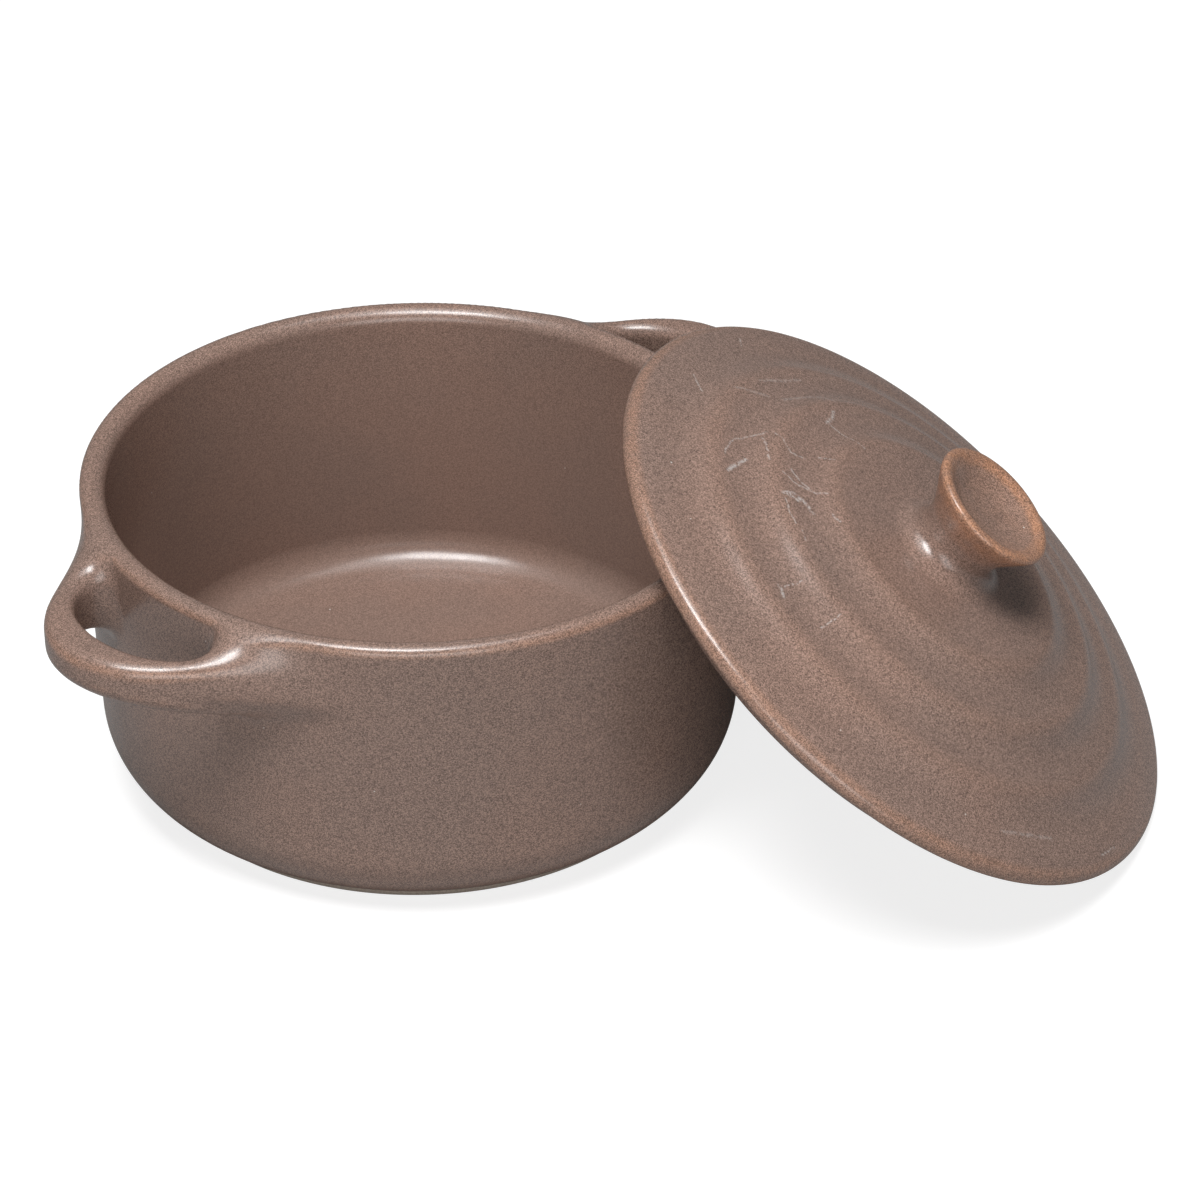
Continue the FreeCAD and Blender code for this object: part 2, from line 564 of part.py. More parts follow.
def make_lid_knob():
    body = new_body("lid_knob")
    profile = sketch_on(body, "knob_profile", "XZ_Plane")
    seat = size("ring_depth")
    crown = seat + size("crown_height")
    seat_low = crown - size("knob_seat_depth")
    fillet = size("knob_foot_fillet")
    waist = size("waist_radius")
    stem = size("stem_hollow_radius")
    rim = size("knob_rim_radius")
    rim_x = size("knob_radius") - rim
    top = seat + size("knob_height")
    rim_y = top - rim
    hollow_low = top - size("knob_hollow")
    stem_centre = (waist + stem, crown + fillet)

    # the straight flare touches the stem's curve on one side and the rim's on the other
    span = math.dist(stem_centre, (rim_x, rim_y))
    heading = math.atan2(rim_y - stem_centre[1], rim_x - stem_centre[0])
    offset = math.acos((stem + rim) / span)
    facing = heading + offset
    stem_end = (stem_centre[0] + stem * math.cos(facing), stem_centre[1] + stem * math.sin(facing))
    rim_start = (rim_x - rim * math.cos(facing), rim_y - rim * math.sin(facing))
    bowl = (rim_x ** 2 + (rim_y - hollow_low) ** 2 - rim ** 2) / (2 * (rim_y - hollow_low + rim))
    bowl_centre = (0, hollow_low + bowl)
    reach = math.dist(bowl_centre, (rim_x, rim_y))
    rim_end = (rim_x + rim * (0 - rim_x) / reach, rim_y + rim * (bowl_centre[1] - rim_y) / reach)

    bottom = line(profile, (0, seat_low), (waist + fillet, seat_low))
    foot_wall = line(profile, (waist + fillet, seat_low), (waist + fillet, crown))
    foot_arc = arc(profile, (waist + fillet, crown + fillet), (waist, crown + fillet), (waist + fillet, crown))
    stem_arc = arc(profile, stem_centre, stem_end, (waist, crown + fillet))
    flare_line = line(profile, stem_end, rim_start)
    rim_arc = arc(profile, (rim_x, rim_y), rim_start, rim_end)
    bowl_arc = arc(profile, bowl_centre, (0, hollow_low), rim_end)
    axis_line = line(profile, (0, hollow_low), (0, seat_low))

    join(profile,
         ((bottom, END), (foot_wall, START)), ((foot_wall, END), (foot_arc, END)),
         ((bowl_arc, START), (axis_line, START)), ((axis_line, END), (bottom, START)))
    smooth(profile,
           ((foot_arc, START), (stem_arc, END)), ((stem_arc, START), (flare_line, START)),
           ((flare_line, END), (rim_arc, START)), ((rim_arc, END), (bowl_arc, END)))
    flat(profile, bottom)
    upright(profile, foot_wall, axis_line)
    on_axis(profile, axis_line, START, V_AXIS)
    on_axis(profile, bowl_arc, CENTRE, V_AXIS)
    profile.addConstraint(Sketcher.Constraint("Horizontal", foot_arc, START, foot_arc, CENTRE))
    profile.addConstraint(Sketcher.Constraint("Vertical", foot_arc, END, foot_arc, CENTRE))
    crown_text = SEAT + " + Sizes.crown_height"
    set_y(profile, "seat_low", bottom, START, seat_low, crown_text + " - Sizes.knob_seat_depth")
    set_y(profile, "crown", foot_arc, END, crown, crown_text)
    set_x(profile, "waist", foot_arc, START, waist, "Sizes.waist_radius")
    set_radius(profile, "foot_fillet", foot_arc, fillet, "Sizes.knob_foot_fillet")
    set_radius(profile, "stem", stem_arc, stem, "Sizes.stem_hollow_radius")
    set_radius(profile, "rim", rim_arc, rim, "Sizes.knob_rim_radius")
    set_x(profile, "rim_x", rim_arc, CENTRE, rim_x, "Sizes.knob_radius - Sizes.knob_rim_radius")
    set_y(profile, "rim_y", rim_arc, CENTRE, rim_y, SEAT + " + Sizes.knob_height - Sizes.knob_rim_radius")
    set_y(profile, "hollow", bowl_arc, START, hollow_low, SEAT + " + Sizes.knob_height - Sizes.knob_hollow")
    turned(body, "knob_turned", profile)
    return body


def leaning_place():
    """Placement of the lid's frame: edge on the table, locating ring against the dish's rim.

    Here u is level and points the way the lid's top faces, and v is level across it. The lid's
    centre starts far out along u and comes in until the ring is lean_gap from the rim. The gap is
    taken between the rim's centre circle and the ring's lower face, less the round of each.
    """
    lean = math.radians(size("lean_angle"))
    seat = size("ring_depth")
    edge = size("lid_edge_radius")
    height = (size("lid_radius") - edge) * math.sin(lean) + edge - (seat + edge) * math.cos(lean)
    lip = size("lip_thickness") / 2
    rim_circle = size("rim_radius") - lip
    rim_level = size("rim_height") - lip
    ring_round = size("ring_edge_radius")
    ring_out = size("rim_radius") - size("lip_thickness") - size("ring_clearance")
    outermost = ring_out - ring_round
    innermost = ring_out - size("ring_width") + ring_round
    middle = (outermost + innermost) / 2
    offset = size("lean_offset")
    wanted = ring_round + lip + size("lean_gap")
    samples = 720

    def gap_at(distance):
        least = math.inf
        for number in range(samples):
            turn = 2 * math.pi * number / samples
            for radius in (outermost, middle, innermost):
                along = radius * math.cos(turn)
                v = offset + radius * math.sin(turn)
                u = distance + along * math.cos(lean) + ring_round * math.sin(lean)
                z = height - along * math.sin(lean) + ring_round * math.cos(lean)
                least = min(least, math.hypot(math.hypot(u, v) - rim_circle, z - rim_level))
        return least

    far = size("rim_radius") + size("lid_radius")
    near = far
    while gap_at(near) > wanted:
        far = near
        near -= lip
    for _ in range(20):
        between = (near + far) / 2
        if gap_at(between) > wanted:
            far = between
        else:
            near = between
    tilt = FreeCAD.Rotation(vector(0, 1, 0), size("lean_angle"))
    turn = FreeCAD.Rotation(vector(0, 0, 1), size("lean_bearing"))
    base = turn.multVec(vector(far, offset, height))
    return FreeCAD.Placement(base, turn.multiply(tilt))


dish_body = make_dish_body()
handle_right = make_handle("handle_right", 0)
handle_left = make_handle("handle_left", 180)
lid_shell = make_lid_shell()
lid_knob = make_lid_knob()
lean = leaning_place()
lid_shell.Placement = lean
lid_knob.Placement = lean
doc.recompute()

for item in doc.Objects:
    if "Invalid" in item.State or "Error" in item.State:
        raise RuntimeError("%s failed: %s" % (item.Label, item.State))

nodes = [dish_body, handle_left, handle_right, lid_shell, lid_knob]
for node in nodes:
    shape = node.Shape
    if shape.isNull() or not shape.isValid():
        raise RuntimeError("%s has no valid shape" % node.Label)
    if len(shape.Solids) != 1:
        raise RuntimeError("%s is %d solids" % (node.Label, len(shape.Solids)))
    print("%s volume %.1f mm3 box %s" % (node.Label, shape.Volume, shape.optimalBoundingBox()))
print("lid frame at %s" % lean)

for node in nodes:
    node.Shape.exportStep("parts/%s.step" % node.Label)
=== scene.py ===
import math

import bpy
import numpy as np
from mathutils import Matrix, Vector


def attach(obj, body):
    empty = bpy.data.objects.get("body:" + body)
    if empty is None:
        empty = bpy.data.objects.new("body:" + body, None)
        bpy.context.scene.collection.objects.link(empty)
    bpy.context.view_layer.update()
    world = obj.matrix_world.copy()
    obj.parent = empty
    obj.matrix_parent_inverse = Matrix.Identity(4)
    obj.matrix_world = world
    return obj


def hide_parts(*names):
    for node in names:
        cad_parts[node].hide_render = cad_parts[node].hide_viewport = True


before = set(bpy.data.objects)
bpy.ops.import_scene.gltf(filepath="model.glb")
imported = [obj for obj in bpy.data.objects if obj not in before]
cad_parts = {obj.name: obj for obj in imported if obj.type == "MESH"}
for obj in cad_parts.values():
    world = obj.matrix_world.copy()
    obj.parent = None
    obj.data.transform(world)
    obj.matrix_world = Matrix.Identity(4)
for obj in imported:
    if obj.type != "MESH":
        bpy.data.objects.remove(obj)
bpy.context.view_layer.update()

# Looks of a mini casserole dish in matt brown stoneware. Sizes are in millimetres and are turned
# into metres where a mesh is made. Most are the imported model's. The lid's steps, the knob's stem,
# the roundings, the handles' taper and the inside floor are fitted to the photograph.
MM = 0.001

# Dish
RIM_RADIUS = 52.5
RIM_HEIGHT = 51.4
LIP_RADIUS = 1.6
INNER_LIP_RADIUS = 2.4
WALL_LOW_RADIUS = 51.0
WALL_LOW_HEIGHT = 11.26
WALL_THICKNESS = 3.9
CORNER_RADIUS = 10.5
BASE_HEIGHT = 0.8
FLOOR_TOP = 4.2
INNER_CORNER_RADIUS = 5.5
FOOT_RADIUS = 44.1
FOOT_WIDTH = 4.0
FOOT_TOP = 3.0                      # inside the dish's base, so no gap shows
FOOT_BEVEL = 0.5
FOOT_SPACING = 0.4
FOOT_TURNS = 240

# The dish is meshed on a grid of this step between these corners
GRID_STEP = 0.8
GRID_LOW = (-71, -55, -2)
GRID_HIGH = (71, 55, 54)
SETTLE_ROUNDS = 3
RELAX_ROUNDS = 4

# Handles, seen from above with X through both. They get thinner outwards, mostly from below.
LOOP_CENTRE = 37.0
LOOP_HALF_DEPTH = 32.7
LOOP_HALF_WIDTH = 21.7
HOLE_CENTRE = 54.0
HOLE_HALF_DEPTH = 9.0
HOLE_HALF_WIDTH = 13.6
HANDLE_MIDDLE = 60.0
HANDLE_TOP = 48.2
HANDLE_TOP_SLOPE = 0.05
HANDLE_BOTTOM = 39.6
HANDLE_BOTTOM_SLOPE = 0.28
HANDLE_ROUND = 2.2                  # upper and lower edges
PLAN_ROUND = 2.2                    # seen from above
ROOT_BLEND = 7.0                    # fillets to the dish: along the top, half way up, below
FLANK_BLEND = 11.8
UNDER_BLEND = 3.2
HOLE_BLEND = 2.5                    # inside the finger hole
HOLE_BLEND_REACH = 3.0

# Lid. Heights are above the lower end of its locating ring.
LID_CENTRE = (44.539, -57.500, 29.549)
LEAN_ANGLE = 38.0
LEAN_BEARING = -54.8
RING_DEPTH = 4.05
RING_OUT = 47.9
RING_WIDTH = 2.6
LID_RADIUS = 53.9
LID_EDGE_RADIUS = 1.1
LID_SOFTNESS = 0.5
LID_TURNS = 288
RING_BEVEL = 0.8
RING_ROOT = 0.4
RING_SOFTNESS = 0.3
UNDERSIDE_SPACING = 1.5
# Radius, and height above the middle of the rounded edge
SHOULDER = ((53.9, 0.0), (53.85, 0.75), (53.55, 1.45), (52.8, 1.95), (51.6, 2.36), (50.2, 2.72),
            (48.8, 3.05))
# Radius, height above the seat, slope of the tread outside
STEPS = ((41.0, 7.3, 0.20), (31.6, 10.5, 0.11), (21.8, 13.0, 0.10))
STEP_REACH = 6.5
RISER_INSIDE = 1.4
RISER_OUTSIDE = 1.6
TREAD_FADE = 2
SECTION_STEP = 0.1
CROWN_HEIGHT = 13.4
CROWN_THICKNESS = 4.4
CROWN_SLOPE = 0.02
CROWN_FALL = (8, 24)                # radii between which the crown starts to slope

# Knob: radius, and height above the middle of the lid's rounded edge
KNOB_STEM = ((0, 11.6), (8, 11.6), (11.8, 11.75), (12.0, 12.1), (11.2, 12.42), (10.2, 12.6),
             (9.3, 12.85), (8.5, 13.25), (7.85, 13.8), (7.35, 14.5), (7.05, 15.3), (7.0, 16.1),
             (7.15, 17.0), (7.55, 18.1), (8.15, 19.2), (8.9, 20.4), (9.7, 21.6), (10.4, 22.7),
             (10.85, 23.6), (10.7, 24.2), (10.0, 24.45), (9.2, 24.25), (8.0, 23.5), (5.5, 22.3),
             (2.8, 21.8), (0, 21.65))
KNOB_DROOP = 0.046
KNOB_PUSH = -0.18
KNOB_TURNS = 128

# Share of orange brown where the glaze breaks, and of deep brown painted as shade round the knob's
# neck, under its flare
RIDGE_BREAK = 0.3
EDGE_BREAK = 0.3
STEP_BREAK = 0.08
STEP_BREAK_WIDTH = 1.6
STEM_BREAK = 0.42
KNOB_RIM_BREAK = 0.4
HOLLOW_LOSS = 0.75
NECK_PAINTED_SHADE = 0.35


# Meshes

def mesh_piece(name, points, faces, attributes):
    """A smooth mesh from points in millimetres, with its named float attributes."""
    mesh = bpy.data.meshes.new(name)
    mesh.from_pydata((np.asarray(points) * MM).tolist(), [], [list(map(int, f)) for f in faces])
    mesh.polygons.foreach_set("use_smooth", [True] * len(mesh.polygons))
    for key, values in attributes.items():
        values = np.asarray(values, float)
        kind = "FLOAT_VECTOR" if values.ndim == 2 else "FLOAT"
        field = "vector" if values.ndim == 2 else "value"
        mesh.attributes.new(key, kind, "POINT").data.foreach_set(field, values.ravel())
    mesh.update()
    piece = bpy.data.objects.new(name, mesh)
    bpy.context.scene.collection.objects.link(piece)
    return piece


def rounded_both(a, b, radius):
    """Inside both fields, with their shared edge rounded."""
    return np.minimum(np.maximum(a, b) + radius, 0) + np.hypot(
        np.maximum(a + radius, 0), np.maximum(b + radius, 0)) - radius


def blended(a, b, reach):
    """Inside either field, with a fillet between them."""
    near = np.maximum(reach - np.abs(a - b), 0)
    return np.minimum(a, b) - near * near / (4 * reach)


def ramp(x, start, end):
    t = np.clip((x - start) / (end - start), 0, 1)
    return t * t * (3 - 2 * t)


def side_of(r, z, low, high):
    """Distance outside the straight line through two (radius, height) points."""
    dr, dz = high[0] - low[0], high[1] - low[1]
    return ((r - low[0]) * dz - (z - low[1]) * dr) / math.hypot(dr, dz)


def oval(x, y, half_depth, half_width):
    """Distance outside an oval round the origin, nearly true close to its edge."""
    u, v = x / half_depth, y / half_width
    scale = np.maximum(np.hypot(u, v), 1e-6)
    slope = np.maximum(np.hypot(u / half_depth, v / half_width), 1e-6 / half_depth)
    return scale * (scale - 1) / slope


def handle_field(x, y, z):
    """Loops on both sides, as (field, reach of the fillet between it and the dish)."""
    x = np.abs(x)
    outline = oval(x - LOOP_CENTRE, y, LOOP_HALF_DEPTH, LOOP_HALF_WIDTH)
    hole = oval(x - HOLE_CENTRE, y, HOLE_HALF_DEPTH, HOLE_HALF_WIDTH)
    top = HANDLE_TOP + HANDLE_TOP_SLOPE * (x - HANDLE_MIDDLE)
    bottom = HANDLE_BOTTOM + HANDLE_BOTTOM_SLOPE * (x - HANDLE_MIDDLE)
    plan = rounded_both(outline, -hole, PLAN_ROUND)
    field = rounded_both(plan, np.maximum(z - top, bottom - z), HANDLE_ROUND)
    above_middle = (2 * z - top - bottom) / (top - bottom)
    reach = FLANK_BLEND + (ROOT_BLEND - FLANK_BLEND) * ramp(above_middle, 0.0, 2.0)
    reach = reach + (UNDER_BLEND - reach) * ramp(-above_middle, 0.1, 1.1)
    near_hole = 1 - ramp(hole, -HOLE_BLEND_REACH, HOLE_BLEND_REACH)
    return field, reach + (HOLE_BLEND - reach) * near_hole


def dish_field(p):
    """Signed field of the dish with both handles: negative in the clay, in millimetres."""
    x, y, z = p[..., 0], p[..., 1], p[..., 2]
    r = np.hypot(x, y)
    lip_height = RIM_HEIGHT - LIP_RADIUS
    wall = side_of(r, z, (WALL_LOW_RADIUS, WALL_LOW_HEIGHT), (RIM_RADIUS, lip_height))
    outside = rounded_both(wall, BASE_HEIGHT - z, CORNER_RADIUS)
    handle, reach = handle_field(x, y, z)
    outside = rounded_both(blended(outside, handle, reach), z - RIM_HEIGHT, LIP_RADIUS)
    inner_low = (WALL_LOW_RADIUS - WALL_THICKNESS, FLOOR_TOP + INNER_CORNER_RADIUS)
    inner_wall = side_of(r, z, inner_low, (RIM_RADIUS - LIP_RADIUS - INNER_LIP_RADIUS, lip_height))
    inside = rounded_both(inner_wall, FLOOR_TOP - z, INNER_CORNER_RADIUS)
    return rounded_both(outside, -inside, INNER_LIP_RADIUS)


def slope_of(field, points, step=0.05):
    columns = []
    for axis in range(3):
        shift = np.zeros(3)
        shift[axis] = step
        columns.append((field(points + shift) - field(points - shift)) / (2 * step))
    return np.stack(columns, -1)


def settle(field, points, rounds):
    """Moves points onto the field's zero surface."""
    for _ in range(rounds):
        slope = slope_of(field, points)
        points = points - (field(points) / np.maximum((slope ** 2).sum(-1), 0.2))[:, None] * slope
    return points


def bend_of(field, points, step=0.6):
    """Sum of the surface's two curvatures: positive on ridges, negative in hollows."""
    total = -6 * field(points)
    for axis in range(3):
        shift = np.zeros(3)
        shift[axis] = step
        total = total + field(points + shift) + field(points - shift)
    return total / step ** 2


def surface_net(field, low, high, step):
    """Points and quads on the field's zero surface, one point for each crossed cell of a grid."""
    counts = [int(math.ceil((b - a) / step)) + 1 for a, b in zip(low, high)]
    axes = [a + step * np.arange(n) for a, n in zip(low, counts)]
    values = np.empty(counts)
    for i, x in enumerate(axes[0]):
        y, z = np.meshgrid(axes[1], axes[2], indexing="ij")
        values[i] = field(np.stack([np.full_like(y, x), y, z], -1))
    inside = values < 0
    cells = [n - 1 for n in counts]
    corner_sum = np.zeros(cells, int)
    for i in (0, 1):
        for j in (0, 1):
            for k in (0, 1):
                corner_sum += inside[i:i + cells[0], j:j + cells[1], k:k + cells[2]]
    crossed = (corner_sum > 0) & (corner_sum < 8)
    index = np.full(cells, -1)
    index[crossed] = np.arange(crossed.sum())
    points = np.array(low) + (np.argwhere(crossed) + 0.5) * step

    quads = []
    for axis in range(3):
        second, third = (axis + 1) % 3, (axis + 2) % 3
        first_half = [slice(None)] * 3
        last_half = [slice(None)] * 3
        first_half[axis] = slice(None, -1)
        last_half[axis] = slice(1, None)
        before, after = inside[tuple(first_half)], inside[tuple(last_half)]
        edges = np.argwhere(before != after)
        ring = []
        for back_second, back_third in ((0, 0), (1, 0), (1, 1), (0, 1)):
            cell = edges.copy()
            cell[:, second] -= back_second
            cell[:, third] -= back_third
            ring.append(index[tuple(cell.T)])
        ring = np.stack(ring, 1)
        turned = ~before[tuple(edges.T)]
        ring[turned] = ring[turned][:, ::-1]
        quads.append(ring)
    return points, np.concatenate(quads)


def relax(points, quads, field, rounds):
    """Evens out the net's points along the surface."""
    a = quads.ravel()
    b = np.roll(quads, -1, axis=1).ravel()
    count = np.bincount(a, minlength=len(points)) + np.bincount(b, minlength=len(points))
    for _ in range(rounds):
        mean = np.zeros_like(points)
        for axis in range(3):
            mean[:, axis] += np.bincount(a, points[b, axis], len(points))
            mean[:, axis] += np.bincount(b, points[a, axis], len(points))
        points = settle(field, 0.5 * points + 0.5 * mean / count[:, None], 1)
    return points


def make_dish():
    step = GRID_STEP
    points, quads = surface_net(dish_field, GRID_LOW, GRID_HIGH, step)
    points = settle(dish_field, points, SETTLE_ROUNDS)
    points = relax(points, quads, dish_field, RELAX_ROUNDS)
    points = settle(dish_field, points, SETTLE_ROUNDS)
    normals = slope_of(dish_field, points)
    normals /= np.linalg.norm(normals, axis=1)[:, None]
    r = np.hypot(points[:, 0], points[:, 1])
    outward = (normals[:, :2] * points[:, :2]).sum(1) / np.maximum(r, 1)
    up = normals[:, 2]
    ridge = ramp(bend_of(dish_field, points), 0.12, 0.42)
    tint = (RIDGE_BREAK * ridge * ramp(up, -0.25, 0.15) * (1 - ramp(up, 0.45, 0.85))
            * ramp(outward, -0.3, 0.3))
    inside = (1 - ramp(r, 47.5, 49.5)) * ramp(points[:, 2], 3, 5)
    piece = mesh_piece("dish", points, quads, {"tint": tint, "calm": 0.6 * inside, "local": points})
    piece.data.normals_split_custom_set_from_vertices(normals.tolist())
    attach(piece, "dish")
    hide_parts("dish_body", "handle_left", "handle_right")
    return piece


# Turned shapes

def arc(centre, radius, start, end, spacing=0.25):
    """Points on an arc, angles in degrees."""
    count = max(3, int(abs(math.radians(end - start)) * radius / spacing))
    angles = np.radians(np.linspace(start, end, count + 1))
    return np.stack([centre[0] + radius * np.cos(angles), centre[1] + radius * np.sin(angles)], -1)


def even(points, spacing):
    """The same line with evenly spaced points."""
    points = np.asarray(points, float)
    length = np.concatenate([[0], np.cumsum(np.linalg.norm(np.diff(points, axis=0), axis=1))])
    keep = np.concatenate([[True], np.diff(length) > 1e-6])
    wanted = np.linspace(0, length[-1], max(3, int(round(length[-1] / spacing))) + 1)
    return np.stack([np.interp(wanted, length[keep], points[keep, i]) for i in (0, 1)], -1)


def softened(points, reach, spacing=0.25):
    """The line with its corners rounded over about that reach. Its ends stay."""
    points = even(points, spacing)
    half = int(math.ceil(3 * reach / spacing))
    weight = np.exp(-0.5 * (np.arange(-half, half + 1) * spacing / reach) ** 2)
    weight /= weight.sum()
    padded = np.concatenate([2 * points[0] - points[half:0:-1], points,
                             2 * points[-1] - points[-2:-half - 2:-1]])
    return np.stack([np.convolve(padded[:, i], weight, "valid") for i in (0, 1)], -1)


def curve_through(points, spacing=0.25):
    """A smooth line through a few given points."""
    points = np.asarray(points, float)
    ends = np.concatenate([[2 * points[0] - points[1]], points, [2 * points[-1] - points[-2]]])
    line = []
    for a, b, c, d in zip(ends, ends[1:], ends[2:], ends[3:]):
        for t in np.linspace(0, 1, 24, endpoint=False):
            line.append(0.5 * (2 * b + (c - a) * t + (2 * a - 5 * b + 4 * c - d) * t ** 2
                               + (3 * b - a - 3 * c + d) * t ** 3))
    line.append(points[-1])
    return even(line, spacing)


def lathe(name, line, turns, place, tint, worn, bow=None):
    """Turns a line of (radius, height) that runs from axis to axis, and places it."""
    points, tints, wears, faces = [], [], [], []
    rings = []
    for (radius, height), value, wear in zip(line, tint, worn):
        start = len(points)
        if radius < 1e-3:
            points.append((0, 0, height))
            tints.append(value)
            wears.append(wear)
            rings.append((start, 1))
            continue
        for turn in np.arange(turns) * 2 * math.pi / turns:
            points.append((radius * math.cos(turn), radius * math.sin(turn), height))
            tints.append(value)
            wears.append(wear)
        rings.append((start, turns))
    for (a, size_a), (b, size_b) in zip(rings, rings[1:]):
        for i in range(turns):
            j = (i + 1) % turns
            if size_a == 1:
                faces.append((a, b + j, b + i))
            elif size_b == 1:
                faces.append((a + i, a + j, b))
            else:
                faces.append((a + i, a + j, b + j, b + i))
    local = np.array(points)
    if bow is not None:
        local = bow(local)
    facing = np.array(place.to_3x3())
    world = local @ facing.T + np.array(place.translation)
    return mesh_piece(name, world, faces, {"tint": tints, "worn": wears,
                                           "calm": np.zeros(len(local)), "local": local})


def lid_place():
    return (Matrix.Translation(LID_CENTRE)
            @ Matrix.Rotation(math.radians(LEAN_BEARING), 4, "Z")
            @ Matrix.Rotation(math.radians(LEAN_ANGLE), 4, "Y"))


def stepped_line(start):
    """The lid's top from its shoulder to the axis: a smooth riser below each step, then a tread."""
    radii = np.arange(start[0], -0.01, -SECTION_STEP)
    slope = CROWN_SLOPE * ramp(radii, *CROWN_FALL)
    outer = start
    for radius, height, tread in STEPS:
        height += RING_DEPTH
        flat = (tread * ramp(radii, radius - TREAD_FADE, radius + TREAD_FADE)
                * (1 - ramp(radii, outer[0] - TREAD_FADE, outer[0] + TREAD_FADE)))
        riser = (ramp(radii, radius - RISER_INSIDE, radius + RISER_OUTSIDE)
                 * (1 - ramp(radii, radius, radius + STEP_REACH)))
        rise = height - outer[1] - flat.sum() * SECTION_STEP
        slope = slope + flat + riser / (riser.sum() * SECTION_STEP) * rise
        outer = (radius, height)
    heights = start[1] + np.cumsum(slope) * SECTION_STEP
    return np.stack([np.maximum(radii, 0), heights], -1)


def lid_line():
    """Half section of the lid, from the axis under the crown round to the axis on top."""
    seat = RING_DEPTH
    ring_in = RING_OUT - RING_WIDTH
    under = [(0, seat + CROWN_HEIGHT - CROWN_THICKNESS), (15, seat + 8.3), (30, seat + 5.8),
             (ring_in - 1.2, seat + 1.7)]
    ring = [(ring_in, seat), (ring_in, RING_BEVEL), (ring_in + RING_BEVEL, 0),
            (RING_OUT - RING_BEVEL, 0), (RING_OUT, RING_BEVEL),
            (RING_OUT, seat - RING_ROOT), (RING_OUT + RING_ROOT, seat)]
    edge_x = LID_RADIUS - LID_EDGE_RADIUS
    edge_y = seat + LID_EDGE_RADIUS
    edge = arc((edge_x, edge_y), LID_EDGE_RADIUS, -90, 0)
    shoulder = curve_through([(x, edge_y + y) for x, y in SHOULDER])
    outer = np.concatenate([edge[:-1], shoulder])
    steps = stepped_line(tuple(shoulder[-1]))
    upper = softened(np.concatenate([outer, steps]), LID_SOFTNESS)
    return np.concatenate([curve_through(under, UNDERSIDE_SPACING), softened(ring, RING_SOFTNESS),
                           upper])


def knob_line():
    """Half section of the knob, from its foot on the crown round to the axis in its hollow top."""
    offset = RING_DEPTH + LID_EDGE_RADIUS
    return curve_through([(x, offset + y) for x, y in KNOB_STEM])


def knob_bow(local):
    """The knob's top sits a little off level, as on a piece luted on by hand."""
    x, y, z = local.T
    rise = ramp(z, RING_DEPTH + CROWN_HEIGHT + 0.5, RING_DEPTH + CROWN_HEIGHT + 8)
    return np.stack([x + KNOB_PUSH * rise, y, z - KNOB_DROOP * x * rise], -1)


def make_lid():
    place = lid_place()
    line = lid_line()
    radius, height = line.T
    crest = ramp(radius, 51.9, 53.3) * ramp(height, RING_DEPTH + 0.1, RING_DEPTH + 1.0)
    steps = sum(np.exp(-((radius - x) / STEP_BREAK_WIDTH) ** 2) for x, _, _ in STEPS)
    steps = steps * ramp(height, 6, 8)
    top = np.arange(len(line)) > radius.argmax()
    shell = lathe("lid_shell_glazed", line, LID_TURNS, place,
                  EDGE_BREAK * crest + STEP_BREAK * steps, top.astype(float))
    line = knob_line()
    radius, height = line.T
    rise = height - RING_DEPTH - LID_EDGE_RADIUS
    bowl = (1 - ramp(radius, 7.6, 8.8)) * ramp(rise, 20, 20.8)
    tint = ramp(rise, 14, 20) * STEM_BREAK + KNOB_RIM_BREAK * ramp(rise, 20, 22.5)
    tint = tint * (1 - HOLLOW_LOSS * bowl)
    # Painted shade: the neck under the knob's flare is darkened towards deep brown all round
    neck = ramp(rise, 13.0, 14.5) * (1 - ramp(rise, 16.5, 20.5))
    knob = lathe("lid_knob_glazed", line, KNOB_TURNS, place, tint - NECK_PAINTED_SHADE * neck,
                 np.zeros(len(line)), knob_bow)
    for piece, node, slot in ((shell, "lid_shell", "lid_glaze"), (knob, "lid_knob", "knob_glaze")):
        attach(piece, "lid")
        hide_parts(node)
    return shell, knob


def make_foot_ring():
    inner = FOOT_RADIUS - FOOT_WIDTH
    line = [(inner, FOOT_TOP), (inner, FOOT_BEVEL), (inner + FOOT_BEVEL, 0),
            (FOOT_RADIUS - FOOT_BEVEL, 0), (FOOT_RADIUS, FOOT_BEVEL),
            (FOOT_RADIUS, FOOT_TOP), (inner, FOOT_TOP)]
    line = even(line, FOOT_SPACING)
    points, faces = [], []
    turns = FOOT_TURNS
    for radius, height in line[:-1]:
        for turn in np.arange(turns) * 2 * math.pi / turns:
            points.append((radius * math.cos(turn), radius * math.sin(turn), height))
    rows = len(line) - 1
    for row in range(rows):
        after = (row + 1) % rows
        for i in range(turns):
            j = (i + 1) % turns
            faces.append((row * turns + i, row * turns + j,
                          after * turns + j, after * turns + i))
    piece = mesh_piece("foot_ring", points, faces, {"local": np.array(points)})
    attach(piece, "dish")
    return piece


# Materials

